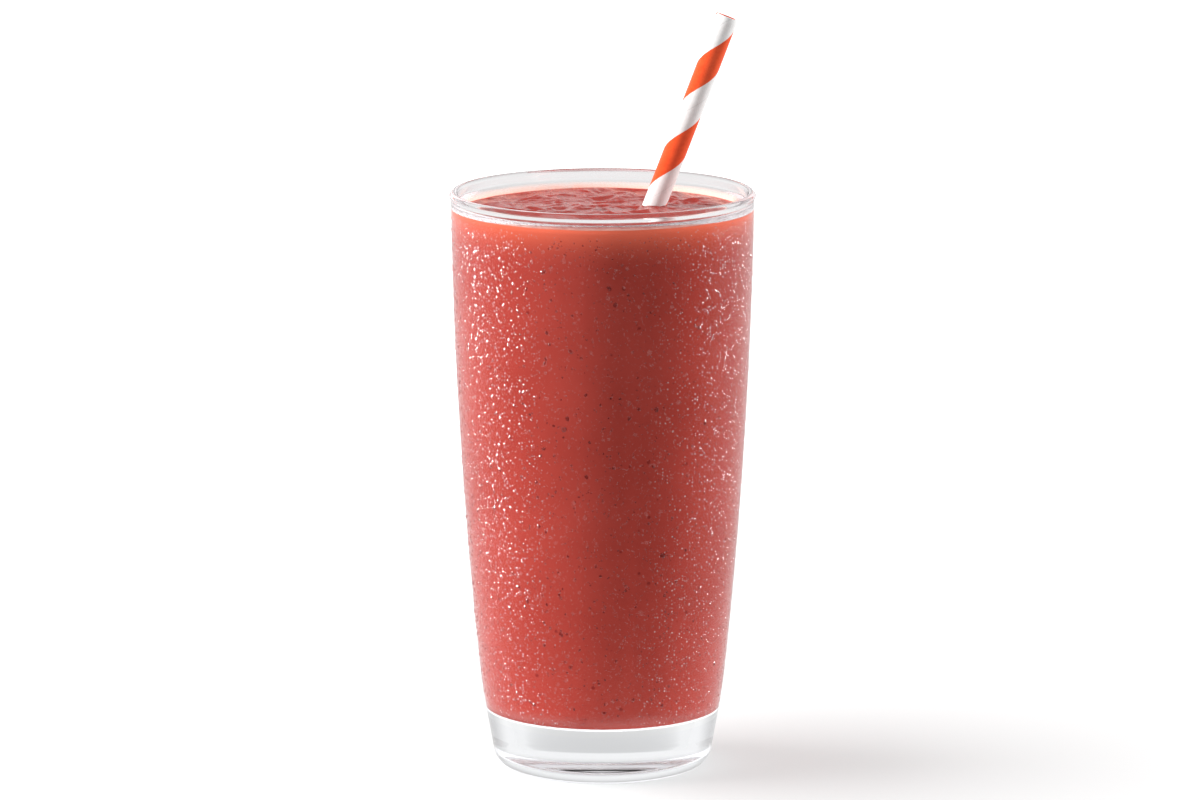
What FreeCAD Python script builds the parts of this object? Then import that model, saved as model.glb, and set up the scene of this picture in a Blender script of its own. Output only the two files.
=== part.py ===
"""Acai berry smoothie in a tall tapered glass tumbler, with a striped paper straw.

Three pieces in millimetres, +Z up, the origin in the middle of the foot:
  glass     a pressed tumbler: thick base, bowed and tapered side, rounded bead at the rim
  smoothie  the thick drink that fills the glass to just under its lip, round and inside the straw
  straw     a paper tube that leans on the side of the glass and rises out of it to +X
"""
import FreeCAD, Part
import math
import os

from FreeCAD import Vector

# ---- glass: outside ----
glass_height = 158.0
rim_radius = 41.25          # outside of the rim's bead
bead_proud = 0.45           # how far the bead stands out past the wall
bead_height = 1.25          # upright part of the bead's outside
bead_taper = 1.1            # height in which the bead runs back to the wall
knee_radius = 32.5          # outside, where the tapered base turns into the bowed side
knee_height = 20.0
knee_round = 250.0
side_bow = 1.65             # how far the side bulges past its chord
foot_radius = 28.9          # sharp corner of the base's taper with the table, before the heel is rounded
heel_round = 5.5
bearing_width = 2.3         # flat ring that the glass stands on
push_up = 1.2               # height of the hollow under the base
bearing_round = 6.0

# ---- glass: inside ----
rim_thickness = 2.2
rim_flat = 0.13             # level width on top of the rim, between the rounds of its two edges
lip_straight = 1.8          # upright inside of the lip, under the round of the rim
flare_angle = 38.0          # degrees from upright, where the lip thickens into the wall
lip_round = 1.5
shoulder_round = 5.0
wall_top = 3.2
wall_bottom = 4.0
inner_bow = 2.0
floor_height = 15.7         # thickness of the base at the edge of the floor
floor_dish = 0.8            # how much lower the floor is in the middle
floor_round = 5.0

# ---- drink ----
fill_depth = 4.95           # mean surface below the rim
cling_rise = 0.45           # how far the drink climbs where it touches the wall
cling_width = 3.0
surface_pitch = 2.0         # spacing of the points that the surface runs through
# folds left by stirring: height, wavelength, heading in degrees, phase
fold_waves = (
    (0.17, 23.0, 75.0, 0.4),
    (0.13, 15.0, 28.0, 2.1),
    (0.08, 10.5, 118.0, 4.0),
    (0.05, 8.0, 160.0, 1.2),
)
fold_wander = 2.4           # how far the folds meander to the side
wander_length = 8.0
wander_phases = (0.8, -1.3)

# ---- straw ----
straw_diameter = 6.2
straw_wall = 0.45
straw_lean = 21.05          # degrees from upright, towards +X
straw_lean_back = 3.4       # degrees from upright, towards +Y
straw_entry_x = 13.95       # where its axis passes the drink's mean surface
straw_entry_y = 6.0
straw_rise = 46.0           # middle of its upper end above the rim
straw_clearance = 0.3       # between its lower end and the glass
end_points = 24             # points round its lower end that are kept clear of the glass
foot_tolerance = 0.01

# ---- geometry ----
shallow_radius = 100.0      # arcs larger than this are revolved as splines
share_before = 0.9          # most that a round may take of what is left of the edge before it
share_after = 0.65          # and of the edge after it, which may have one more round
on_axis = 1e-7
section_plane = Part.Plane(Vector(0, 0, 0), Vector(0, -1, 0))
up = Vector(0, 0, 1)


def point(radius, height):
    return Vector(radius, 0, height)


def line(start, end):
    return Part.LineSegment(start, end).toShape()


def bowed(start, end, bow):
    """Arc from start to end whose middle stands out from the chord, away from the axis, by bow."""
    chord = end - start
    outward = Vector(abs(chord.z), 0, -math.copysign(chord.x, chord.x * chord.z)).normalize()
    return Part.Arc(start, (start + end) * 0.5 + outward * bow, end).toShape()


def dished(edge, middle_height):
    """Arc from a point to the Z axis at middle_height, where it is level."""
    rise = edge.z - middle_height
    radius = (edge.x ** 2 + rise ** 2) / (2 * abs(rise))
    circle = Part.Circle(point(0, middle_height + math.copysign(radius, rise)), section_plane.Axis, radius)
    first, last = sorted((circle.parameter(edge), circle.parameter(point(0, middle_height))))
    return Part.ArcOfCircle(circle, first, last).toShape()


def corner_between(before, after):
    """The point that two edges share."""
    pairs = [(a.Point, b.Point) for a in before.Vertexes for b in after.Vertexes]
    return min(pairs, key=lambda pair: pair[0].distanceToPoint(pair[1]))[0]


def largest_round(before, after, corner):
    """Radius of the largest arc that fits in a corner and leaves some of both edges."""
    headings = [e.tangentAt(e.Curve.parameter(corner)) for e in (before, after)]
    turn = headings[0].getAngle(headings[1])
    turn = min(turn, math.pi - turn)
    return min(share_before * before.Length, share_after * after.Length) / math.tan(turn / 2)


def blended(edges, radii):
    """The edges in a row, with a tangent arc of its own radius in each corner between two of them."""
    result = [edges[0]]
    for before, after, radius in zip(edges, edges[1:], radii):
        corner = corner_between(before, after)
        before = result.pop()
        fillet = Part.ChFi2d.FilletAlgo(before, after, section_plane)
        fillet.perform(min(radius, largest_round(before, after, corner)))
        arc, shortened, rest = fillet.result(corner)
        result += [shortened, arc, rest]
    return result


def as_spline(edge):
    """The edge, as a spline if it is a long shallow arc: once revolved, that needs far fewer facets."""
    if isinstance(edge.Curve, Part.Circle) and edge.Curve.Radius > shallow_radius:
        return edge.Curve.toBSpline(edge.FirstParameter, edge.LastParameter).toShape()
    return edge


def revolved(edges):
    """Solid of revolution of an outline whose two ends lie on the Z axis."""
    ends = [v.Point for e in edges for v in e.Vertexes if abs(v.Point.x) < on_axis]
    outline = Part.sortEdges([as_spline(e) for e in edges] + [line(ends[0], ends[1])])[0]
    return Part.Face(Part.Wire(outline)).revolve(Vector(0, 0, 0), up, 360)


# ---- outlines of the glass, as half sections in the XZ plane ----
rim_round = (rim_thickness - rim_flat) / 2
outer_top = point(rim_radius - bead_proud, glass_height - bead_height - bead_taper)
knee = point(knee_radius, knee_height)
foot = point(foot_radius, 0)
base_taper = (knee_radius - foot_radius) / knee_height
heel_reach = heel_round * math.tan(math.pi / 4 - math.atan(base_taper) / 2)
bearing = point(foot_radius - heel_reach - bearing_width, 0)

rim_outer = point(rim_radius, glass_height)
rim_inner = point(rim_radius - rim_thickness, glass_height)
flare_top = point(rim_inner.x, glass_height - rim_round - lip_straight)
flare_drop = (flare_top.x - outer_top.x + wall_top) / math.tan(math.radians(flare_angle))
inner_top = point(outer_top.x - wall_top, flare_top.z - flare_drop)
inner_bottom = point(foot_radius + base_taper * floor_height - wall_bottom, floor_height)
inner_side = bowed(inner_bottom, inner_top, inner_bow)


def outside():
    """Edges from the middle of the underside up to the rim, and the round of each corner between them."""
    bead_bottom = point(rim_radius, glass_height - bead_height)
    edges = [
        dished(bearing, push_up),
        line(bearing, foot),
        line(foot, knee),
        bowed(knee, outer_top, side_bow),
        line(outer_top, bead_bottom),
        line(bead_bottom, rim_outer),
    ]
    return edges, [bearing_round, heel_round, knee_round, bead_taper, bead_taper]


def inside():
    """Edges from the rim down to the middle of the floor, and the round of each corner between them."""
    edges = [
        line(rim_inner, flare_top),
        line(flare_top, inner_top),
        bowed(inner_top, inner_bottom, inner_bow),
        dished(inner_bottom, floor_height - floor_dish),
    ]
    return edges, [lip_round, shoulder_round, floor_round]


def make_glass():
    outer, outer_rounds = outside()
    inner, inner_rounds = inside()
    rim = line(rim_outer, rim_inner)
    return revolved(blended(outer + [rim] + inner, outer_rounds + [rim_round] * 2 + inner_rounds))


def make_cavity():
    """The space inside the glass up to the rim."""
    mouth = line(point(0, glass_height), rim_inner)
    return revolved([mouth] + blended(*inside()))


# ---- straw ----
straw_axis = Vector(math.tan(math.radians(straw_lean)), math.tan(math.radians(straw_lean_back)), 1)
straw_axis.normalize()
fill_height = glass_height - fill_depth
straw_entry = Vector(straw_entry_x, straw_entry_y, fill_height)


def straw_point(height):
    """Point of the straw's axis at a height."""
    return straw_entry + straw_axis * ((height - fill_height) / straw_axis.z)


def wall_radius(height):
    """Inside radius of the glass at a height on its bowed side."""
    circle = inner_side.Curve
    return circle.Center.x + math.sqrt(circle.Radius ** 2 - (height - circle.Center.z) ** 2)


def end_clearance(height):
    """Least distance to the wall or the floor from the straw's lower end, when its middle is at a height."""
    across = straw_axis.cross(up).normalize()
    along = straw_axis.cross(across)
    gaps = []
    for step in range(end_points):
        angle = 2 * math.pi * step / end_points
        offset = across * math.cos(angle) + along * math.sin(angle)
        corner = straw_point(height) + offset * (straw_diameter / 2)
        gaps.append(wall_radius(corner.z) - math.hypot(corner.x, corner.y))
        gaps.append(corner.z - floor_height)
    return min(gaps)


def straw_foot():
    """Lowest height at which the straw's end is clear of the glass by straw_clearance."""
    low, high = floor_height, fill_height
    while high - low > foot_tolerance:
        middle = (low + high) / 2
        if end_clearance(middle) < straw_clearance:
            low = middle
        else:
            high = middle
    return high


def make_straw():
    start = straw_point(straw_foot())
    end = straw_point(glass_height + straw_rise)
    length = (end - start).Length
    tube = Part.makeCylinder(straw_diameter / 2, length, start, straw_axis)
    bore = Part.makeCylinder(straw_diameter / 2 - straw_wall, length, start, straw_axis)
    return tube.cut(bore)


# ---- drink ----
def fold_height(x, y):
    """Soft crests with flatter troughs between them, which meander across each other."""
    wander = math.sin(y / wander_length + wander_phases[0]) + math.sin(x / wander_length + wander_phases[1])
    total = 0.0
    for height, wavelength, heading, phase in fold_waves:
        direction = math.radians(heading)
        along = x * math.cos(direction) + y * math.sin(direction) + fold_wander * wander
        crest = math.exp(math.sin(2 * math.pi * along / wavelength + phase))
        total += height * (crest - math.cosh(1)) / math.sinh(1)
    return total


def surface_height(x, y):
    """The drink's surface: folds in the middle that die out where it climbs to the wall."""
    edge = wall_radius(fill_height)
    climb = (math.hypot(x, y) - edge + cling_width) / cling_width
    climb = min(max(climb, 0.0), 1.0) ** 2
    return fill_height + fold_height(x, y) * (1 - climb) + cling_rise * climb


def air_above_drink():
    """Solid from the drink's surface to above the rim, wider than the glass."""
    steps = math.ceil((rim_radius + surface_pitch) / surface_pitch)
    places = [surface_pitch * n for n in range(-steps, steps + 1)]
    surface = Part.BSplineSurface()
    surface.interpolate([[Vector(x, y, surface_height(x, y)) for y in places] for x in places])
    return surface.toShape().extrude(up * (2 * fill_depth))


def make_smoothie(straw):
    return make_cavity().cut(air_above_drink()).cut(straw)


def main():
    os.makedirs("parts", exist_ok=True)
    straw = make_straw()
    pieces = {"glass": make_glass(), "smoothie": make_smoothie(straw), "straw": straw}
    for name, shape in pieces.items():
        solid = shape.Solids[0]
        print(f"{name}: {len(shape.Solids)} solid, valid {shape.isValid()}, volume {solid.Volume:.0f} mm3")
        solid.exportStep(f"parts/{name}.step")


main()
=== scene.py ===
"""Acai berry smoothie in a tall glass: the looks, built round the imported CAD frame.

Points are in millimetres until mesh_piece() makes a mesh of them.
Materials, lamps and the camera are in metres.
"""

import math
import random

import bpy
import numpy as np
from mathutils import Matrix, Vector, noise


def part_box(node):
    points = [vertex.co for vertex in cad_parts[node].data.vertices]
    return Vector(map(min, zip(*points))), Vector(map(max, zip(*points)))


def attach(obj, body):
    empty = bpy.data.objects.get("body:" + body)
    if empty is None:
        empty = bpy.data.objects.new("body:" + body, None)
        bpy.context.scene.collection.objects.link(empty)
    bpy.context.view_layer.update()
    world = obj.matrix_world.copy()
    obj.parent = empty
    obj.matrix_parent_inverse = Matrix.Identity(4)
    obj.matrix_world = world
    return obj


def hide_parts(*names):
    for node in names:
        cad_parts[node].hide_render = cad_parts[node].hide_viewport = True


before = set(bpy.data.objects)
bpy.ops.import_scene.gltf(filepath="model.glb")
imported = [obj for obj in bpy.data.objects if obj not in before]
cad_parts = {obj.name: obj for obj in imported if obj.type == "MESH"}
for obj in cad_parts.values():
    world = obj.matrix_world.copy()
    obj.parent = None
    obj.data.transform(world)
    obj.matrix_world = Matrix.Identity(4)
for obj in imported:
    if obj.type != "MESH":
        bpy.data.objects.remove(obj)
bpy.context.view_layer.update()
MM = 0.001
FULL_TURN = 2 * math.pi

# ---- the glass, as in its CAD solid ----
glass_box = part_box("glass")
GLASS_HEIGHT = glass_box[1].z / MM
RIM_RADIUS = glass_box[1].x / MM
BEAD_PROUD = 0.45            # how far the rim's bead stands out past the wall
BEAD_HEIGHT = 1.25           # upright part of the bead
BEAD_TAPER = 1.1             # height in which the bead runs back to the wall
RIM_THICKNESS = 2.2
LIP_STRAIGHT = 1.8           # upright inside of the lip, under the round of the rim
FLARE_ANGLE = 38.0           # degrees from upright, where the lip thickens into the wall
WALL_TOP = 3.2
SIDE_BOW = 1.65              # how far the outside bulges past its chord
INNER_BOW = 2.0              # and the inside
PUSH_UP = 1.2                # height of the hollow under the base
FLOOR_HEIGHT = 15.7          # inside, at the edge of the floor
FLOOR_MIDDLE = 14.9

# rounds of its corners
RIM_ROUND = 1.035
LIP_ROUND = 1.5
SHOULDER_ROUND = 5.0
FLOOR_ROUND = 5.0
BEARING_ROUND = 6.0
HEEL_ROUND = 5.5
KNEE_ROUND = 250.0

# its corners, as radius and height
BEARING = (22.0, 0.0)
FOOT = (28.9, 0.0)
KNEE = (32.5, 20.0)
OUTER_TOP = (RIM_RADIUS - BEAD_PROUD, GLASS_HEIGHT - BEAD_HEIGHT - BEAD_TAPER)
BEAD_BOTTOM = (RIM_RADIUS, GLASS_HEIGHT - BEAD_HEIGHT)
RIM_OUTER = (RIM_RADIUS, GLASS_HEIGHT)
RIM_INNER = (RIM_RADIUS - RIM_THICKNESS, GLASS_HEIGHT)
FLARE_TOP = (RIM_INNER[0], GLASS_HEIGHT - RIM_ROUND - LIP_STRAIGHT)
FLARE_WIDTH = FLARE_TOP[0] - OUTER_TOP[0] + WALL_TOP
INNER_TOP = (OUTER_TOP[0] - WALL_TOP, FLARE_TOP[1] - FLARE_WIDTH / math.tan(math.radians(FLARE_ANGLE)))
INNER_BOTTOM = (27.73, FLOOR_HEIGHT)

# ---- the drink ----
FILL_HEIGHT = GLASS_HEIGHT - 4.95      # mean surface of the CAD solid
SURFACE_HEIGHT = FILL_HEIGHT - 0.3     # the middle, which in the scene is a little lower
CLING_RISE = 0.45                      # how far the drink climbs where it touches the wall
CLING_WIDTH = 3.0
EDGE_DROP = 0.2                        # how far its edge at the back is below the mean surface
EDGE_UNEVEN = 0.3                      # height of the waves along its edge
STRAW_CLING_RISE = 0.45                # how far it climbs the straw
STRAW_CLING_WIDTH = 0.7
# folds left by stirring, as in the CAD solid: height, wavelength, heading in degrees, phase
FOLD_WAVES = (
    (0.17, 23.0, 75.0, 0.4),
    (0.13, 15.0, 28.0, 2.1),
    (0.08, 10.5, 118.0, 4.0),
    (0.05, 8.0, 160.0, 1.2),
)
FOLD_WANDER = 2.4
WANDER_LENGTH = 8.0
# finer relief, each with its height and its size across
LUMPS = (0.65, 6.5)
CREASES = (0.32, 4.2)
GRAINS = (0.10, 1.9)
LUMP_BEND = (2.0, 7.0)       # how far the relief is bent sideways, and over what length
SINK = 0.12                  # how far the drink reaches into the glass, so that no air shows between them

# ---- the straw ----
STRAW_RADIUS = 3.1
STRAW_WALL = 0.45
STRAW_LEAN = 21.05           # degrees from upright, towards +X
STRAW_LEAN_BACK = 3.4        # and towards +Y
STRAW_SLOPES = [math.tan(math.radians(lean)) for lean in (STRAW_LEAN, STRAW_LEAN_BACK)]
STRAW_AXIS = Vector((*STRAW_SLOPES, 1)).normalized()
STRAW_ENTRY = Vector((13.95, 6.0, FILL_HEIGHT))
STRAW_LIP = 0.1              # reach of the soft edge at each end
STRIPE_PITCH = 24.7
STRIPE_SHARE = 0.476         # of the pitch that is orange
STRIPE_START = 14.2          # middle of the first orange stripe below the upper end, on the front


# ======== meshes ========
def mesh_piece(name, points, faces, materials, smooth=True, face_materials=None):
    """Object in the row frame from points in millimetres. smooth is one value, or one for each face."""
    mesh = bpy.data.meshes.new(name)
    mesh.from_pydata((np.asarray(points, float) * MM).tolist(), [], faces)
    for material in materials:
        mesh.materials.append(material)
    if face_materials is not None:
        mesh.polygons.foreach_set("material_index", face_materials)
    mesh.polygons.foreach_set("use_smooth", smooth if isinstance(smooth, list) else [smooth] * len(faces))
    mesh.update()
    piece = bpy.data.objects.new(name, mesh)
    bpy.context.scene.collection.objects.link(piece)
    return piece


def directions(count):
    """Pairs of x and y on the unit circle, evenly round it from +X."""
    return [(math.cos(FULL_TURN * k / count), math.sin(FULL_TURN * k / count)) for k in range(count)]


def heading(start, end):
    """Unit vector from one point to another."""
    return (end - start) / np.hypot(*(end - start))


def stretch(start, end, bow=0.0, spacing=1.5):
    """Points from start to end in the plane of radius and height, bulging away from the axis by bow."""
    a, b = np.array(start, float), np.array(end, float)
    chord = b - a
    length = np.hypot(*chord)
    normal = np.array([abs(chord[1]), -math.copysign(chord[0], chord[0] * chord[1])]) / length
    t = np.linspace(0, 1, max(2, math.ceil(length / spacing) + 1))[:, None]
    return a + t * chord + 4 * bow * t * (1 - t) * normal


def dish(edge, middle_height):
    """Points from an edge point to the axis, level there."""
    t = np.linspace(1, 0, 24)
    return np.stack([edge[0] * t, middle_height + (edge[1] - middle_height) * t ** 2], axis=1)


def trimmed(points, head, tail):
    """A row of points without the first head and the last tail of its length."""
    at = np.concatenate([[0], np.cumsum(np.hypot(*np.diff(points, axis=0).T))])
    inner = at[(at > head) & (at < at[-1] - tail)]
    at_new = np.concatenate([[head], inner, [at[-1] - tail]])
    return np.stack([np.interp(at_new, at, points[:, k]) for k in (0, 1)], axis=1)


def rounded(stretches, rounds):
    """Rows of points joined into one, with a round of its own radius at each corner between two."""
    turns = []
    for before, after in zip(stretches, stretches[1:]):
        cosine = heading(before[-2], before[-1]) @ heading(after[0], after[1])
        turns.append(math.acos(max(-1, min(1, cosine))))
    reach = [0.0] + [radius * math.tan(turn / 2) for radius, turn in zip(rounds, turns)] + [0.0]
    parts = [trimmed(row, head, tail) for row, head, tail in zip(stretches, reach, reach[1:])]
    result = [parts[0]]
    for before, after, radius, turn in zip(parts, parts[1:], rounds, turns):
        handle = 4 / 3 * math.tan(turn / 4) * radius
        leaving = before[-1] + heading(before[-2], before[-1]) * handle
        arriving = after[0] - heading(after[0], after[1]) * handle
        t = np.linspace(0, 1, max(6, math.ceil(math.degrees(turn) / 5)) + 1)[1:-1, None]
        arc = (1 - t) ** 3 * before[-1] + 3 * t * (1 - t) ** 2 * leaving
        result += [arc + 3 * t ** 2 * (1 - t) * arriving + t ** 3 * after[0], after]
    return np.concatenate(result)


def turned(profile, count):
    """A profile from the axis to the axis, turned round Z: points, faces, and each face's row."""
    ring = profile[1:-1]
    angles = np.arange(count) * FULL_TURN / count
    points = np.stack([
        np.outer(ring[:, 0], np.cos(angles)), np.outer(ring[:, 0], np.sin(angles)),
        np.repeat(ring[:, 1:], count, axis=1)], axis=2).reshape(-1, 3)
    first, last = len(points), len(points) + 1
    points = np.vstack([points, [0, 0, profile[0, 1]], [0, 0, profile[-1, 1]]])
    faces, rows = [], []
    for k in range(count):
        following = (k + 1) % count
        faces.append((first, following, k))
        for row in range(len(ring) - 1):
            a, b = row * count, (row + 1) * count
            faces.append((a + k, a + following, b + following, b + k))
        end = (len(ring) - 1) * count
        faces.append((end + k, end + following, last))
        rows += range(len(ring) + 1)
    return points, faces, rows


# ---- outlines of the glass, as radius and height ----
# from the middle of the underside up to the rim's outer corner
outer_stretches = [
    dish(BEARING, PUSH_UP)[::-1],
    stretch(BEARING, FOOT, spacing=3),
    stretch(FOOT, KNEE),
    stretch(KNEE, OUTER_TOP, bow=SIDE_BOW),
    stretch(OUTER_TOP, BEAD_BOTTOM, spacing=0.2),
    stretch(BEAD_BOTTOM, RIM_OUTER, spacing=0.3),
]
outer_rounds = [BEARING_ROUND, HEEL_ROUND, KNEE_ROUND, BEAD_TAPER, BEAD_TAPER]
# from the rim's inner corner down to the middle of the floor
inner_stretches = [
    stretch(RIM_INNER, FLARE_TOP, spacing=0.3),
    stretch(FLARE_TOP, INNER_TOP, spacing=0.3),
    stretch(INNER_TOP, INNER_BOTTOM, bow=INNER_BOW),
    dish(INNER_BOTTOM, FLOOR_MIDDLE),
]
inner_rounds = [LIP_ROUND, SHOULDER_ROUND, FLOOR_ROUND]
outside = rounded(outer_stretches, outer_rounds)
inside = rounded(inner_stretches, inner_rounds)
HEEL_RADIUS, HEEL_HEIGHT = 27.0, 0.5   # on the heel's round: what lies past them belongs to the side
outer_wall = outside[(outside[:, 0] > HEEL_RADIUS) & (outside[:, 1] > HEEL_HEIGHT)]
inner_wall = inside[inside[:, 1] > FLOOR_HEIGHT - 0.1][::-1]


def outer_radius(height):
    """Outside radius of the glass at a height above its heel."""
    return float(np.interp(height, outer_wall[:, 1], outer_wall[:, 0]))


def inner_radius(height):
    """Inside radius of the glass at a height above its floor."""
    return float(np.interp(height, inner_wall[:, 1], inner_wall[:, 0]))


# ======== material helpers ========
class Nodes:
    """The node tree of a new material, with nodes added by one call each."""

    def __init__(self, name=None, tree=None):
        if tree is None:
            self.material = bpy.data.materials.new(name)
            self.material.use_nodes = True
            tree = self.material.node_tree
        tree.nodes.clear()
        self.tree = tree

    def add(self, kind, inputs=(), **settings):
        """A node with its settings, its inputs given by name or number as values or as sockets."""
        node = self.tree.nodes.new("ShaderNode" + kind)
        for name, value in settings.items():
            setattr(node, name, value)
        for name, value in dict(inputs).items():
            if isinstance(value, bpy.types.NodeSocket):
                self.tree.links.new(value, node.inputs[name])
            else:
                node.inputs[name].default_value = value
        return node

    def math(self, operation, *values, clamp=False):
        return self.add("Math", enumerate(values), operation=operation, use_clamp=clamp).outputs[0]

    def product(self, first, *others):
        for other in others:
            first = self.math("MULTIPLY", first, other)
        return first

    def remap(self, value, low, high, to_low=0.0, to_high=1.0, smooth=True):
        """value's range from low to high made into another, held at its ends."""
        inputs = {"Value": value, "From Min": low, "From Max": high, "To Min": to_low, "To Max": to_high}
        kind = "SMOOTHSTEP" if smooth else "LINEAR"
        return self.add("MapRange", inputs, interpolation_type=kind).outputs[0]

    def mix_value(self, factor, first, second):
        return self.add("Mix", {0: factor, 2: first, 3: second}, data_type="FLOAT").outputs[0]

    def mix_colour(self, factor, first, second):
        return self.add("Mix", {0: factor, 6: first, 7: second}, data_type="RGBA").outputs[2]

    def mix_shader(self, factor, first, second):
        return self.add("MixShader", {0: factor, 1: first, 2: second}).outputs[0]

    def place(self):
        """The point in the row frame, in metres."""
        return self.add("TexCoord").outputs["Object"]

    def split(self, vector):
        """The X, Y and Z of a vector."""
        return self.add("SeparateXYZ", {0: vector}).outputs

    def height(self):
        return self.split(self.place())[2]

    def noise(self, scale, detail=2.0, roughness=0.5):
        inputs = {"Vector": self.place(), "Scale": scale, "Detail": detail, "Roughness": roughness}
        return self.add("TexNoise", inputs).outputs["Fac"]

    def cells(self, scale):
        """Distance from the middle of a random cell, and two random numbers of that cell."""
        voronoi = self.add("TexVoronoi", {"Vector": self.place(), "Scale": scale, "Randomness": 1.0})
        random_numbers = self.add("SeparateColor", {0: voronoi.outputs["Color"]}).outputs
        return voronoi.outputs["Distance"], random_numbers[0], random_numbers[1]

    def bump(self, height, distance, strength=1.0):
        return self.add("Bump", {"Height": height, "Distance": distance, "Strength": strength}).outputs[0]

    def ray(self):
        """What kind of ray meets the surface."""
        return self.add("LightPath").outputs

    def mirrored_ray(self):
        """1 for a ray that comes from a mirroring surface, 0 for a refracted one, which is glossy too."""
        ray = self.ray()
        reflected = self.math("SUBTRACT", 1.0, ray["Is Transmission Ray"])
        return self.product(ray["Is Glossy Ray"], reflected)

    def before_diffuse(self):
        """1 for a ray that has met only clear or mirroring surfaces."""
        return self.math("LESS_THAN", self.ray()["Diffuse Depth"], 0.5)

    def facing(self):
        """0 where the surface faces the viewer, 1 where it is seen along."""
        return self.add("LayerWeight", {"Blend": 0.5}).outputs["Facing"]

    def principled(self, **inputs):
        """A Principled shader. Its inputs are named with _ for each space."""
        named = {name.replace("_", " "): value for name, value in inputs.items()}
        return self.add("BsdfPrincipled", named).outputs[0]

    def surface(self, socket):
        self.add("OutputMaterial", {"Surface": socket})
        return self.material


def for_shadows(nodes, shader, tint):
    """A see-through shader that lamps and stray light shine through without bending."""
    clear = nodes.add("BsdfTransparent", {"Color": tint}).outputs[0]
    ray = nodes.ray()
    straight = nodes.math("MAXIMUM", ray["Is Shadow Ray"], ray["Is Diffuse Ray"])
    return nodes.mix_shader(straight, shader, clear)


# ======== materials ========
def clear_glass():
    """Soda-lime glass: a touch blue in the thick base, and tinted mauve where it is seen along, a painted
    shade for its dark edges.
    """
    nodes = Nodes("tumbler_glass")
    smear = nodes.remap(nodes.noise(60.0, 3.0), 0.35, 0.75, 0.0, 0.03)
    above_base = nodes.remap(nodes.height(), 0.02, 0.03)
    body = nodes.mix_colour(above_base, (0.97, 0.98, 0.995, 1), (0.995, 0.985, 0.99, 1))
    # Painted shade: mauve where the glass is seen along, standing in for the dark outlines of its edges.
    tint = nodes.mix_colour(nodes.math("POWER", nodes.facing(), 5.0), body, (0.44, 0.38, 0.41, 1))
    glass = nodes.principled(Base_Color=tint, Roughness=smear, IOR=1.5, Transmission_Weight=1.0)
    return nodes.surface(for_shadows(nodes, glass, (0.93, 0.95, 0.95, 1)))


def painted_glint_beads(nodes, facing):
    """White beads too small for a mesh, up to 0.2 mm in radius, most of them where the glass turns away: fog
    lit by the lamps, and painted glints standing in for its droplets' glints.
    """
    distance, size, brightness = nodes.cells(1500.0)
    bead = nodes.math("LESS_THAN", distance, nodes.remap(size, 0.40, 1.0, 0.0, 0.32))
    aside = nodes.remap(facing, 0.04, 0.25, 0.15, 1.0)
    return nodes.product(bead, aside, nodes.remap(brightness, 0.0, 1.0, 0.3, 1.0))


def misted_glass():
    """The outside where the cold drink is behind it: glass under a fog of tiny droplets."""
    nodes = Nodes("misted_glass")
    height = nodes.height()
    band = nodes.product(nodes.remap(height, 0.0155, 0.0185), nodes.remap(height, 0.1535, 0.1515))
    fog = nodes.product(band, nodes.remap(nodes.noise(45.0, 4.0, 0.6), 0.3, 0.7, 0.8, 1.0))
    grains = nodes.product(nodes.noise(2600.0, 2.0, 0.7), fog)
    glass = nodes.principled(
        Base_Color=(0.99, 0.995, 0.995, 1), Roughness=nodes.product(fog, 0.06), IOR=1.5,
        Transmission_Weight=1.0, Specular_Tint=(0.2, 0.2, 0.2, 1),
        Normal=nodes.bump(grains, 0.00012, 0.5))
    white = {"Color": (0.9, 0.9, 0.92, 1)}
    from_behind = nodes.add("BsdfTranslucent", white).outputs[0]
    from_outside = nodes.add("BsdfDiffuse", white).outputs[0]
    veil = nodes.mix_shader(0.5, from_behind, from_outside)
    facing = nodes.facing()
    thicker_below = nodes.remap(height, 0.075, 0.016, 0.2, 0.34)
    edge_haze = nodes.product(nodes.math("POWER", facing, 3.0), thicker_below)
    base_haze = nodes.remap(height, 0.022, 0.0165, 0.0, 0.16)
    haze = nodes.math("MAXIMUM", edge_haze, base_haze)
    # Painted glints: white fog beads, most where the glass turns away, in place of the droplets' glints.
    haze = nodes.math("MAXIMUM", haze, painted_glint_beads(nodes, facing))
    shader = nodes.mix_shader(nodes.product(fog, haze), glass, veil)
    return nodes.surface(for_shadows(nodes, shader, (0.93, 0.95, 0.95, 1)))


def berry_colour(nodes):
    """Red fruit puree: cloudy patches, and dark specks of seed and skin."""
    cloud = nodes.remap(nodes.noise(28.0, 4.0, 0.55), 0.3, 0.7)
    flesh = nodes.mix_colour(cloud, (0.36, 0.045, 0.034, 1), (0.41, 0.055, 0.042, 1))
    distance, size, _ = nodes.cells(420.0)
    speck = nodes.math("LESS_THAN", distance, nodes.remap(size, 0.86, 1.0, 0.0, 0.22))
    return nodes.mix_colour(nodes.product(speck, 0.55), flesh, (0.14, 0.012, 0.012, 1))


def open_drink():
    """The drink's wet upper surface."""
    nodes = Nodes("berry_drink_open")
    pulp = nodes.noise(260.0, 4.0, 0.5)
    grain = nodes.noise(900.0, 3.0, 0.6)
    return nodes.surface(nodes.principled(
        Base_Color=nodes.mix_colour(0.2, berry_colour(nodes), (0.12, 0.01, 0.01, 1)),
        Roughness=nodes.remap(grain, 0.3, 0.7, 0.16, 0.28), IOR=1.45,
        Subsurface_Weight=0.6, Subsurface_Radius=(0.0040, 0.0012, 0.0008), Subsurface_Scale=1.0,
        Normal=nodes.bump(pulp, 0.0003, 0.4)))


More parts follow.
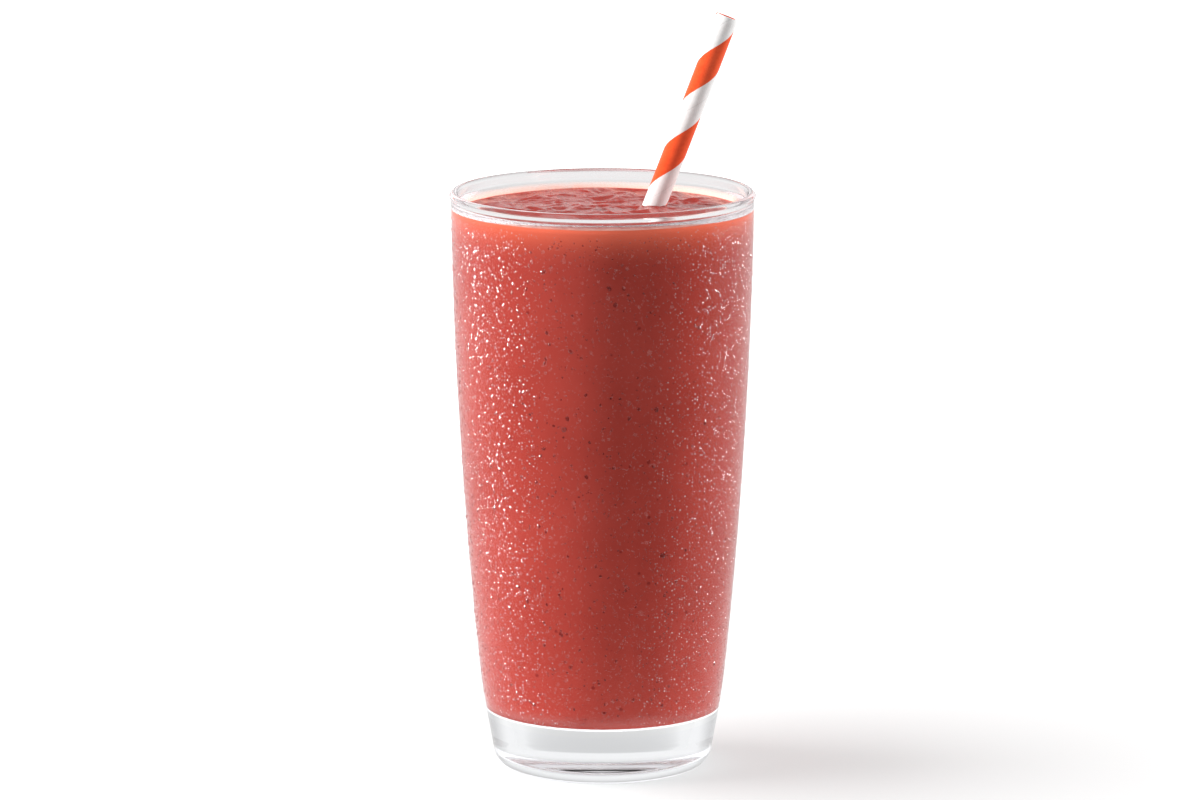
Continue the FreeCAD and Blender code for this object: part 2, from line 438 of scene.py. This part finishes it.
def drink_behind_glass():
    """The drink where it wets the glass, so that it has no gloss of its own.

    A painted glow in its top, in colour and emission, stands in for light from above. Where it is seen
    mirrored, as inside the heel and the rim, its colour is a pale grey instead: a painted reflection.
    """
    nodes = Nodes("berry_drink_side")
    # Painted glow: lighter colour and emission towards the top of the drink, standing in for light from
    # above.
    lit = nodes.math("POWER", nodes.remap(nodes.height(), 0.1400, 0.1530, smooth=False), 3.0)
    colour = nodes.mix_colour(lit, berry_colour(nodes), (0.55, 0.10, 0.055, 1))
    # Painted reflection: in mirrored rays the drink's colour is swapped for a pale grey.
    colour = nodes.mix_colour(nodes.mirrored_ray(), colour, (0.64, 0.61, 0.63, 1))
    return nodes.surface(nodes.principled(
        Base_Color=colour, Roughness=0.6, Specular_IOR_Level=0.0,
        Emission_Color=(0.80, 0.16, 0.10, 1), Emission_Strength=nodes.product(lit, 0.32)))


def underside_painted_glow():
    """The drink's underside, painted pale grey with a glow of its own: a painted glow that shows inside the
    thick clear base.
    """
    nodes = Nodes("berry_drink_underside")
    veil = nodes.remap(nodes.noise(120.0, 3.0), 0.3, 0.7)
    return nodes.surface(nodes.principled(
        Base_Color=nodes.mix_colour(veil, (0.80, 0.80, 0.82, 1), (0.83, 0.83, 0.85, 1)),
        Roughness=0.5, Specular_IOR_Level=0.0,
        Emission_Color=(1, 0.98, 0.99, 1), Emission_Strength=0.25))


def drink_film():
    """What the drink leaves on the glass above its surface: a thin pulpy skin that fades upwards, with a
    painted glow of its own.
    """
    nodes = Nodes("drink_film")
    fade = nodes.remap(nodes.height(), 0.1550, 0.1527)
    amount = nodes.product(fade, nodes.remap(nodes.noise(350.0, 3.0, 0.5), 0.3, 0.7, 0.5, 0.75))
    # Painted glow: the skin's emission makes it glow peach without a lamp.
    skin = nodes.principled(
        Base_Color=(0.95, 0.62, 0.52, 1), Roughness=0.4, Specular_IOR_Level=0.0,
        Emission_Color=(1, 0.66, 0.57, 1), Emission_Strength=0.2)
    return nodes.surface(nodes.mix_shader(amount, nodes.add("BsdfTransparent").outputs[0], skin))


def water():
    """Condensed water. Its body bends light little, and its coat mirrors the lamps.

    Some drops are tinted darker than what is behind them: painted shade.
    """
    nodes = Nodes("water_drops")
    # Painted shade: a noise darkens some drops' colour.
    dark = nodes.remap(nodes.noise(500.0, 1.0), 0.45, 0.65)
    drop = nodes.principled(
        Base_Color=nodes.mix_colour(dark, (1, 0.98, 0.98, 1), (0.5, 0.3, 0.3, 1)),
        Roughness=nodes.remap(nodes.noise(300.0), 0.3, 0.7, 0.05, 0.1), IOR=1.12,
        Transmission_Weight=1.0, Coat_Weight=1.0, Coat_Roughness=0.14, Coat_IOR=1.4)
    return nodes.surface(for_shadows(nodes, drop, (1, 1, 1, 1)))


def striped_paper():
    """Paper wound into a tube, printed with one broad spiral stripe.

    UV: turns round the tube, and pitches down it.
    """
    nodes = Nodes("striped_paper")
    uv = nodes.split(nodes.add("TexCoord").outputs["UV"])
    across = nodes.math("FRACT", nodes.math("ADD", uv[0], uv[1]))
    from_middle = nodes.math("ABSOLUTE", nodes.math("SUBTRACT", across, 0.5))
    ragged = nodes.product(nodes.math("SUBTRACT", nodes.noise(1500.0, 2.0), 0.5), 0.008)
    edge, blur = STRIPE_SHARE / 2, 0.006
    ink = nodes.remap(nodes.math("ADD", from_middle, ragged), edge + blur, edge - blur)
    fibre = nodes.noise(900.0, 5.0, 0.65)
    grain = nodes.remap(fibre, 0.3, 0.7)
    paper = nodes.mix_colour(grain, (0.80, 0.79, 0.78, 1), (0.86, 0.855, 0.85, 1))
    orange = nodes.mix_colour(grain, (0.80, 0.075, 0.015, 1), (0.87, 0.10, 0.022, 1))
    beside_seam = nodes.math("FRACT", nodes.math("ADD", across, 0.02))
    seam = nodes.remap(nodes.math("ABSOLUTE", nodes.math("SUBTRACT", beside_seam, 0.5)), 0.492, 0.5)
    printed = nodes.mix_colour(ink, paper, orange)
    relief = nodes.math("SUBTRACT", nodes.product(fibre, 0.25), seam)
    return nodes.surface(nodes.principled(
        Base_Color=nodes.mix_colour(nodes.product(seam, 0.18), printed, (0.30, 0.27, 0.25, 1)),
        Roughness=nodes.remap(fibre, 0.3, 0.7, 0.42, 0.55), IOR=1.45,
        Normal=nodes.bump(relief, 0.00008, 0.5)))


def floor_white():
    """A plain white floor: as white as the background to the eye, and darker where the object shades it.

    Its glow has its own strength for each kind of ray: seen, mirrored, through glass, and scattered.
    Near the object its glow is weaker for the eye, so that the shadow shows there and fades outwards, a
    painted fading;
    weaker through glass, a painted shade; and stronger for scattered rays, a painted pool of bounce light.
    """
    nodes = Nodes("floor_white")
    ray = nodes.ray()
    first = nodes.before_diffuse()
    x, y = nodes.split(nodes.place())[:2]
    away = nodes.math("SQRT", nodes.math("ADD", nodes.product(x, x), nodes.product(y, y)))
    # Painted fading: the glow seen by the eye is weaker near the object, so the real shadow shows there and
    # fades outwards.
    seen = nodes.product(ray["Is Camera Ray"], nodes.remap(away, 0.12, 0.6, 0.40, 1.0))
    mirrored = nodes.product(nodes.mirrored_ray(), first, nodes.remap(y, -0.15, 0.0, 0.0, 0.8))
    # Painted shade: seen through glass, the floor near the object glows less.
    through = nodes.product(ray["Is Transmission Ray"], first, nodes.remap(away, 0.05, 0.5, 0.62, 0.90))
    # Painted light: for scattered rays the floor glows more near the object, a pool of bounce light on the
    # drink.
    stray = nodes.product(ray["Is Diffuse Ray"], nodes.remap(away, 0.04, 0.22, 1.7, 0.5))
    strength = nodes.math("ADD", nodes.math("ADD", seen, mirrored), nodes.math("ADD", through, stray))
    shade = nodes.mix_colour(ray["Is Camera Ray"], (0.01, 0.01, 0.01, 1), (0.5, 0.5, 0.5, 1))
    lit = nodes.add("BsdfDiffuse", {"Color": shade}).outputs[0]
    glow = nodes.add("Emission", {"Color": (1, 1, 1, 1), "Strength": strength}).outputs[0]
    return nodes.surface(nodes.add("AddShader", {0: lit, 1: glow}).outputs[0])


# ======== the glass, the drink and the straw ========
GLASS_SEGMENTS = 256
DRINK_SEGMENTS = 400
FILM_SEGMENTS = 360
STRAW_SEGMENTS = 96
MIST_HEIGHTS = (15.0, 154.0)           # the part of the outside that has the misted material
MIST_RADIUS = 28.0                     # which the underside doesn't reach
MIDDLE_RINGS = (6.0, 12)               # radius and rings of the middle of the drink's surface
OUTER_RINGS = 96
WALL_ROWS_TOP = FILL_HEIGHT - 0.9      # highest row of the drink's side below its edge
SPARSE_ROWS = (22.0, 145.0)            # between these heights every second row is enough
FLOOR_ROWS_TOP = 18.0                  # below it, the drink's rows also reach down into the glass
UNDERSIDE_TOP = 15.95
OPEN, SIDE, UNDERSIDE = 0, 1, 2        # material numbers of the drink
FILM_ROWS = 8
FILM_CLEARANCE = 0.02                  # between the film and the glass
FILM_THICKNESS = 0.05
FILM_OVERLAP = 0.25                    # how far it reaches below the drink's edge
FILM_TOP = FILL_HEIGHT + 1.6
FILM_RAGGED = 0.4


def make_glass():
    stretches = outer_stretches + [stretch(RIM_OUTER, RIM_INNER, spacing=0.3)] + inner_stretches
    profile = rounded(stretches, outer_rounds + [RIM_ROUND] * 2 + inner_rounds)
    points, faces, rows = turned(profile, GLASS_SEGMENTS)
    top = int(np.argmax(profile[:, 1]))
    heights = profile[:, 1]
    middles = (heights + np.append(heights[1:], heights[-1])) / 2
    misted = [
        row < top and MIST_HEIGHTS[0] < middles[row] < MIST_HEIGHTS[1] and profile[row, 0] > MIST_RADIUS
        for row in range(len(profile))]
    finish = [int(misted[row]) for row in rows]
    return mesh_piece("glass_body", points, faces, [clear_glass(), misted_glass()], face_materials=finish)


def fold_height(x, y):
    """Soft crests with flatter troughs between them, which meander across each other."""
    wander = math.sin(y / WANDER_LENGTH + 0.8) + math.sin(x / WANDER_LENGTH - 1.3)
    total = 0.0
    for height, wavelength, towards, phase in FOLD_WAVES:
        direction = math.radians(towards)
        along = x * math.cos(direction) + y * math.sin(direction) + FOLD_WANDER * wander
        crest = math.exp(math.sin(FULL_TURN * along / wavelength + phase))
        total += height * (crest - math.cosh(1)) / math.sinh(1)
    return total


def lumps(x, y):
    """The finer relief of a thick fruit puree: lumps a few millimetres across with creases between them."""
    here = Vector((x, y, 3.7))
    bend, bend_length = LUMP_BEND
    along = here / bend_length
    bent = here + bend * Vector((noise.noise(along), noise.noise(along + Vector((9.1, 3.3, 0))), 0))
    broad = noise.noise(bent / LUMPS[1] + Vector((0, 0, 5.0)))
    creased = 1 - 2 * abs(noise.noise(bent / CREASES[1] + Vector((4.4, 0, 2.0))))
    small = noise.noise(bent / GRAINS[1] + Vector((0, 8.8, 1.0)))
    return LUMPS[0] * broad + CREASES[0] * (creased - 0.5) + GRAINS[0] * small


def edge_height(x, y):
    """Where the drink's surface meets the glass: uneven, and higher at the front than at the back."""
    toward_back = 0.5 + 0.5 * math.sin(math.atan2(y, x))
    uneven = EDGE_UNEVEN * noise.noise(Vector((x, y, 0)).normalized() * 1.7)
    return FILL_HEIGHT + CLING_RISE - (CLING_RISE + EDGE_DROP) * toward_back + uneven


def surface_height(x, y):
    """The drink's surface with its folds, lumps and the small rise where it clings to glass and straw."""
    climb = (math.hypot(x, y) - inner_radius(FILL_HEIGHT) + CLING_WIDTH) / CLING_WIDTH
    climb = min(max(climb, 0.0), 1.0) ** 2
    height = (SURFACE_HEIGHT + fold_height(x, y) + lumps(x, y)) * (1 - climb) + edge_height(x, y) * climb
    off = Vector((x, y, FILL_HEIGHT)) - STRAW_ENTRY
    from_straw = (off - STRAW_AXIS * off.dot(STRAW_AXIS)).length - STRAW_RADIUS
    return height + STRAW_CLING_RISE * math.exp(-max(from_straw, 0.0) / STRAW_CLING_WIDTH)


def make_smoothie():
    """Closed body: rings from the middle of the surface out to the wall, down it, and in across the floor."""
    count = DRINK_SEGMENTS
    round_axis = directions(count)
    edge_radius = inner_radius(FILL_HEIGHT) + SINK
    middle, rings = MIDDLE_RINGS
    radii = np.concatenate([
        np.linspace(0, middle, rings)[1:], np.linspace(middle, edge_radius, OUTER_RINGS)[1:]])
    points = [(0.0, 0.0, surface_height(0, 0))]
    for radius in radii:
        places = [(radius * c, radius * s) for c, s in round_axis]
        points += [(x, y, surface_height(x, y)) for x, y in places]
    wall = [p for p in inside if p[1] < WALL_ROWS_TOP]
    low, high = SPARSE_ROWS
    rows = [p for n, p in enumerate(wall[:-1]) if n % 2 == 0 or p[1] < low or p[1] > high]
    for radius, height in rows:
        out, down = (SINK, 0) if height > FLOOR_ROWS_TOP else (SINK * 0.8, SINK)
        points += [((radius + out) * c, (radius + out) * s, height - down) for c, s in round_axis]
    points.append((0, 0, FLOOR_MIDDLE - SINK))
    ring_count, faces, finish = len(radii) + len(rows), [], []
    for k in range(count):
        following = (k + 1) % count
        faces.append((0, 1 + k, 1 + following))
        finish.append(OPEN)
        for ring in range(ring_count - 1):
            a, b = 1 + ring * count, 1 + (ring + 1) * count
            faces.append((a + k, b + k, b + following, a + following))
            below_edge = SIDE if points[b][2] > UNDERSIDE_TOP else UNDERSIDE
            finish.append(OPEN if ring < len(radii) - 1 else below_edge)
        end = 1 + (ring_count - 1) * count
        faces.append((end + following, end + k, len(points) - 1))
        finish.append(UNDERSIDE)
    materials = [open_drink(), drink_behind_glass(), underside_painted_glow()]
    return mesh_piece("smoothie_body", points, faces, materials, face_materials=finish)


def make_film():
    """Thin skin of drink on the inside of the glass above the surface, with an uneven upper edge."""
    count, rows = FILM_SEGMENTS, FILM_ROWS
    points = []
    for side in (FILM_CLEARANCE, FILM_CLEARANCE + FILM_THICKNESS):
        for row in range(rows + 1):
            for c, s in directions(count):
                ragged = noise.noise(Vector((6 * c, 6 * s, 1.5)))
                ragged += 0.5 * noise.noise(Vector((17 * c, 17 * s, 4.0)))
                lower = edge_height(c, s) - FILM_OVERLAP
                upper = FILM_TOP + FILM_RAGGED * ragged
                height = lower + (upper - lower) * row / rows
                radius = inner_radius(height) - side
                points.append((radius * c, radius * s, height))
    faces, sheet, top = [], (rows + 1) * count, rows * count
    for k in range(count):
        following = (k + 1) % count
        for row in range(rows):
            a, b = row * count, (row + 1) * count
            faces.append((a + k, a + following, b + following, b + k))
            faces.append((sheet + a + k, sheet + b + k, sheet + b + following, sheet + a + following))
        faces.append((top + k, top + following, sheet + top + following, sheet + top + k))
        faces.append((k, sheet + k, sheet + following, following))
    return mesh_piece("drink_film", points, faces, [drink_film()])


def make_straw():
    """Paper tube with a soft edge at each end; UVs count turns and pitches for the stripe."""
    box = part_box("straw")
    tilt = STRAW_RADIUS * math.sqrt(1 - STRAW_AXIS.z ** 2)
    heights = (box[0].z / MM + tilt, box[1].z / MM - tilt)
    start, end = [STRAW_ENTRY + STRAW_AXIS * ((height - FILL_HEIGHT) / STRAW_AXIS.z) for height in heights]
    length = (end - start).length
    front = Vector((0, -1, 0))
    front = (front - STRAW_AXIS * front.dot(STRAW_AXIS)).normalized()
    right = front.cross(STRAW_AXIS)
    if right.x < 0:
        right.negate()
    lip, edge, inner = STRAW_LIP, 0.03, STRAW_RADIUS - STRAW_WALL
    outline = [(STRAW_RADIUS - lip, 0), (STRAW_RADIUS - edge, edge), (STRAW_RADIUS, lip)]
    outline += [(STRAW_RADIUS, s) for s in np.linspace(lip, length - lip, 90)[1:-1]]
    outline += [(STRAW_RADIUS, length - lip), (STRAW_RADIUS - edge, length - edge)]
    outline += [(STRAW_RADIUS - lip, length)]
    outline += [(inner + lip, length), (inner + edge, length - edge), (inner, length - lip)]
    outline += [(inner, s) for s in np.linspace(length - lip, lip, 24)[1:-1]]
    outline += [(inner, lip), (inner + edge, edge), (inner + lip, 0)]
    count, points = STRAW_SEGMENTS, []
    for radius, along in outline:
        for c, s in directions(count):
            points.append(start + STRAW_AXIS * along - (front * c + right * s) * radius)
    faces, uvs = [], []
    for row in range(len(outline)):
        after = (row + 1) % len(outline)
        for k in range(count):
            following = (k + 1) % count
            a, b = row * count, after * count
            faces.append((a + k, a + following, b + following, b + k))
            for ring, step in ((row, 0), (row, 1), (after, 1), (after, 0)):
                down = length - outline[ring][1]
                uvs += [(k + step) / count - 0.5, (down - STRIPE_START) / STRIPE_PITCH + 0.5]
    piece = mesh_piece("straw_paper", [tuple(p) for p in points], faces, [striped_paper()])
    piece.data.uv_layers.new(name="wrap").data.foreach_set("uv", uvs)
    return piece


# ======== condensation ========
CELL = 2.5                   # side of the squares in which places already taken are looked up
UNROLLED_RADIUS = 38.0       # the wall is treated as a cylinder of this radius when drops are spaced
SPACING = 1.1                # least distance between two drops, as a share of the sum of their radii
ROOT = 0.1                   # how deep a drop reaches into the glass
ROOT_SHARE = 0.96            # width of that end, as a share of the drop's
EDGE_LIFT = 0.01             # height of the cap's edge above the glass
LARGEST_SAG = 0.3            # how far a drop hangs down, as a share of its radius
# drops of each kind: how many, where between two heights, how high a cap is for its radius
BIG, MIDDLING, FINE = 2300, 4000, 9400
BIG_HEIGHTS, MIDDLING_HEIGHTS, FINE_HEIGHTS = (20, 149), (18, 151), (16.6, 151.6)
BIG_STEEPNESS, MIDDLING_STEEPNESS, FINE_STEEPNESS = (0.24, 0.34), (0.26, 0.38), (0.3, 0.45)


def left_side(azimuth):
    """1 on the left of the object as the photograph's camera sees it, 0 on the right."""
    return 0.5 - 0.5 * math.sin(azimuth)


def scattered(rng, count, size, height_range, density, taken):
    """Places for drops, as azimuth, height and radius, clear of each other and of those already taken."""
    placed = []
    tries = 0
    while len(placed) < count and tries < count * 30:
        tries += 1
        azimuth = rng.uniform(-math.pi, math.pi)
        height = rng.uniform(*height_range)
        if rng.random() > density(azimuth):
            continue
        radius = size()
        x, y = azimuth * UNROLLED_RADIUS, height
        column, row = math.floor(x / CELL), math.floor(y / CELL)
        near = [d for i in (-1, 0, 1) for j in (-1, 0, 1) for d in taken.get((column + i, row + j), ())]
        if any((x - nx) ** 2 + (y - ny) ** 2 < (SPACING * (radius + nr)) ** 2 for nx, ny, nr in near):
            continue
        taken.setdefault((column, row), []).append((x, y, radius))
        placed.append((azimuth, height, radius))
    return placed


def wall_axes(azimuth, height):
    """Point on the outside of the glass, and the directions out of it, level along it and up along it."""
    radius = outer_radius(height)
    slope = outer_radius(height + 0.5) - outer_radius(height - 0.5)
    foot = Vector((radius * math.sin(azimuth), -radius * math.cos(azimuth), height))
    out = Vector((math.sin(azimuth), -math.cos(azimuth), -slope)).normalized()
    level = Vector((math.cos(azimuth), math.sin(azimuth), 0))
    return foot, out, level, out.cross(level)


def drop_outline(rng, radius, segments):
    """Uneven oval round a drop, mostly longer upright than across, along the wall's level and up axes."""
    long, turn = rng.uniform(1.0, 1.45), rng.gauss(math.pi / 2, 0.7)
    bulges = [(rng.uniform(0, 0.13), rng.uniform(0, FULL_TURN)) for _ in range(2)]
    outline = []
    for k in range(segments):
        a = FULL_TURN * k / segments
        swell = [size * math.cos(waves * a + phase) for waves, (size, phase) in zip((2, 3), bulges)]
        r = radius * (1 + sum(swell))
        u, v = r * math.cos(a) * math.sqrt(long), r * math.sin(a) / math.sqrt(long)
        outline.append((u * math.cos(turn) - v * math.sin(turn), u * math.sin(turn) + v * math.cos(turn)))
    return outline


def drops(name, rng, places, segments, rings, steepness_range, material):
    """Joined lens-shaped drops on the outside of the glass, each closed, its base just inside the glass.

    The cap and the rest of a drop have points of their own along its edge, so that the cap shades smoothly.
    """
    points, faces, smooth = [], [], []
    for azimuth, height, radius in places:
        foot, out, level, upward = wall_axes(azimuth, height)
        steepness = rng.uniform(*steepness_range)
        outline = drop_outline(rng, radius, segments)
        sag = min(radius * 0.3, LARGEST_SAG) * rng.uniform(0.3, 1.0)
        start = len(points)
        points.append(foot + out * (radius * steepness) - upward * (sag * radius))
        for ring in range(1, rings + 1):
            t = ring / rings
            rise = radius * steepness * (1 - t * t) + (EDGE_LIFT if ring == rings else 0.0)
            shift = sag * radius * (1 - t * t)
            points += [foot + level * (u * t) + upward * (v * t - shift) + out * rise for u, v in outline]
        points += points[-segments:]
        base = [(u * ROOT_SHARE, v * ROOT_SHARE) for u, v in outline]
        points += [foot + level * u + upward * v - out * ROOT for u, v in base]
        points.append(foot - out * ROOT)
        last = len(points) - 1
        for k in range(segments):
            n = (k + 1) % segments
            faces.append((start, start + 1 + k, start + 1 + n))
            for ring in [*range(rings - 1), rings]:
                a, b = start + 1 + ring * segments, start + 1 + (ring + 1) * segments
                faces.append((a + k, b + k, b + n, a + n))
            b = start + 1 + (rings + 1) * segments
            faces.append((b + k, last, b + n))
            smooth += [True] * rings + [False] * 2
    return mesh_piece(name, [tuple(p) for p in points], faces, [material], smooth=smooth)


def make_condensation():
    """More big drops on the left, and more fine ones on the right."""
    rng = random.Random(20261123)
    taken = {}
    big = scattered(
        rng, BIG, lambda: min(0.8, max(0.3, rng.lognormvariate(math.log(0.42), 0.28))), BIG_HEIGHTS,
        lambda azimuth: 0.1 + 0.9 * left_side(azimuth) ** 2, taken)
    middling = scattered(
        rng, MIDDLING, lambda: rng.uniform(0.19, 0.3), MIDDLING_HEIGHTS, lambda azimuth: 0.7, taken)
    fine = scattered(
        rng, FINE, lambda: rng.uniform(0.13, 0.19), FINE_HEIGHTS,
        lambda azimuth: 1.0 - 0.75 * left_side(azimuth), taken)
    material = water()
    return [
        drops("drops_big", rng, big, 10, 3, BIG_STEEPNESS, material),
        drops("drops_middling", rng, middling, 8, 2, MIDDLING_STEEPNESS, material),
        drops("drops_fine", rng, fine, 5, 1, FINE_STEEPNESS, material),
    ]


# ======== the object ========
glass = make_glass()
smoothie = make_smoothie()
film = make_film()
straw = make_straw()
condensation = make_condensation()
for piece in [glass, smoothie, film, straw] + condensation:
    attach(piece, "root")
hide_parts("glass")
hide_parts("smoothie")
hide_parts("straw")


# ======== floor, light and camera ========
FLOOR_HALF = 3000.0          # in millimetres, and the rest in metres
FLOOR_GAP = 0.00002          # how far the floor lies under the object
LAMP_TARGET = Vector((0, 0, 0.085))
CAMERA_PLACE = (0.0, -1.750, 0.432)
CAMERA_AIM = Vector((-0.0007, 0.0, 0.1007))


def make_floor():
    half = FLOOR_HALF
    corners = [(-half, -half, 0), (half, -half, 0), (half, half, 0), (-half, half, 0)]
    floor = mesh_piece("floor", corners, [(0, 1, 2, 3)], [floor_white()], smooth=False)
    floor.location.z = -FLOOR_GAP
    return floor


def make_world():
    """A white surround. Glass and water see it greyer beside the object and high up, and dark in front."""
    world = bpy.data.worlds.new("studio")
    bpy.context.scene.world = world
    world.use_nodes = True
    world.cycles.sampling_method = "NONE"
    nodes = Nodes(tree=world.node_tree)
    ray = nodes.ray()
    first = nodes.before_diffuse()
    x, y, z = nodes.split(nodes.add("TexCoord").outputs["Generated"])
    behind = nodes.remap(y, -0.35, 0.25, 0.12, 1.0)
    mirrored = nodes.product(behind, nodes.remap(z, 0.20, 0.50, 1.0, 0.1))
    beside = nodes.remap(nodes.math("ABSOLUTE", x), 0.70, 0.95, 0.93, 0.5)
    bent = nodes.product(behind, beside, nodes.remap(z, 0.12, 0.55, 1.0, 0.6))
    strength = nodes.mix_value(nodes.product(ray["Is Glossy Ray"], first), 0.7, mirrored)
    strength = nodes.mix_value(nodes.product(ray["Is Transmission Ray"], first), strength, bent)
    strength = nodes.mix_value(ray["Is Camera Ray"], strength, 1.0)
    background = nodes.add("Background", {"Color": (1, 1, 1, 1), "Strength": strength})
    nodes.add("OutputWorld", {"Surface": background.outputs[0]})


def softbox(name, direction, size, radiance, only=(), spared=(), glints=False):
    """Rectangular lamp, as bright as radiance wherever it is. direction: azimuth, elevation, distance.

    It lights all pieces but those spared, or only those given. A lamp for glints shows only as a reflection.
    """
    azimuth, elevation, distance = direction
    width, height = size
    lamp = bpy.data.lights.new(name, "AREA")
    lamp.shape, lamp.size, lamp.size_y = "RECTANGLE", width, height
    lamp.energy = radiance * math.pi * width * height
    holder = bpy.data.objects.new(name, lamp)
    a, e = math.radians(azimuth), math.radians(elevation)
    away = Vector((math.sin(a) * math.cos(e), -math.cos(a) * math.cos(e), math.sin(e)))
    holder.location = LAMP_TARGET + away * distance
    holder.rotation_euler = away.to_track_quat("Z", "Y").to_euler()
    holder.visible_transmission = False
    holder.visible_camera = False
    holder.visible_diffuse = not glints
    holder.visible_glossy = glints
    bpy.context.scene.collection.objects.link(holder)
    receivers = bpy.data.collections.new(name + "_receivers")
    for piece in list(only) + list(spared):
        receivers.objects.link(piece)
    if spared:
        receivers.collection_objects[0].light_linking.link_state = "EXCLUDE"
    holder.light_linking.receiver_collection = receivers


def make_camera():
    camera = bpy.data.cameras.new("camera")
    camera.sensor_width, camera.lens = 36.0, 197.5
    camera.clip_start, camera.clip_end = 0.1, 20.0
    holder = bpy.data.objects.new("camera", camera)
    holder.location = CAMERA_PLACE
    holder.rotation_euler = (CAMERA_AIM - holder.location).to_track_quat("-Z", "Y").to_euler()
    bpy.context.scene.collection.objects.link(holder)
    bpy.context.scene.camera = holder


floor = make_floor()
make_world()
softbox("key_left", (-82, 26, 1.2), (0.24, 0.40), 70.0, spared=[floor])
softbox("key_right", (108, 24, 1.2), (0.24, 0.40), 46.0, spared=[floor])
softbox("glints_left", (-94, 14, 1.2), (0.40, 0.8), 110.0, only=condensation, glints=True)
softbox("glints_right", (112, 12, 1.2), (0.60, 0.8), 60.0, only=condensation, glints=True)
softbox("floor_light", (-90, 62, 1.3), (0.7, 0.7), 11.0, only=[floor])
make_camera()
bpy.context.scene.view_settings.view_transform = "Standard"
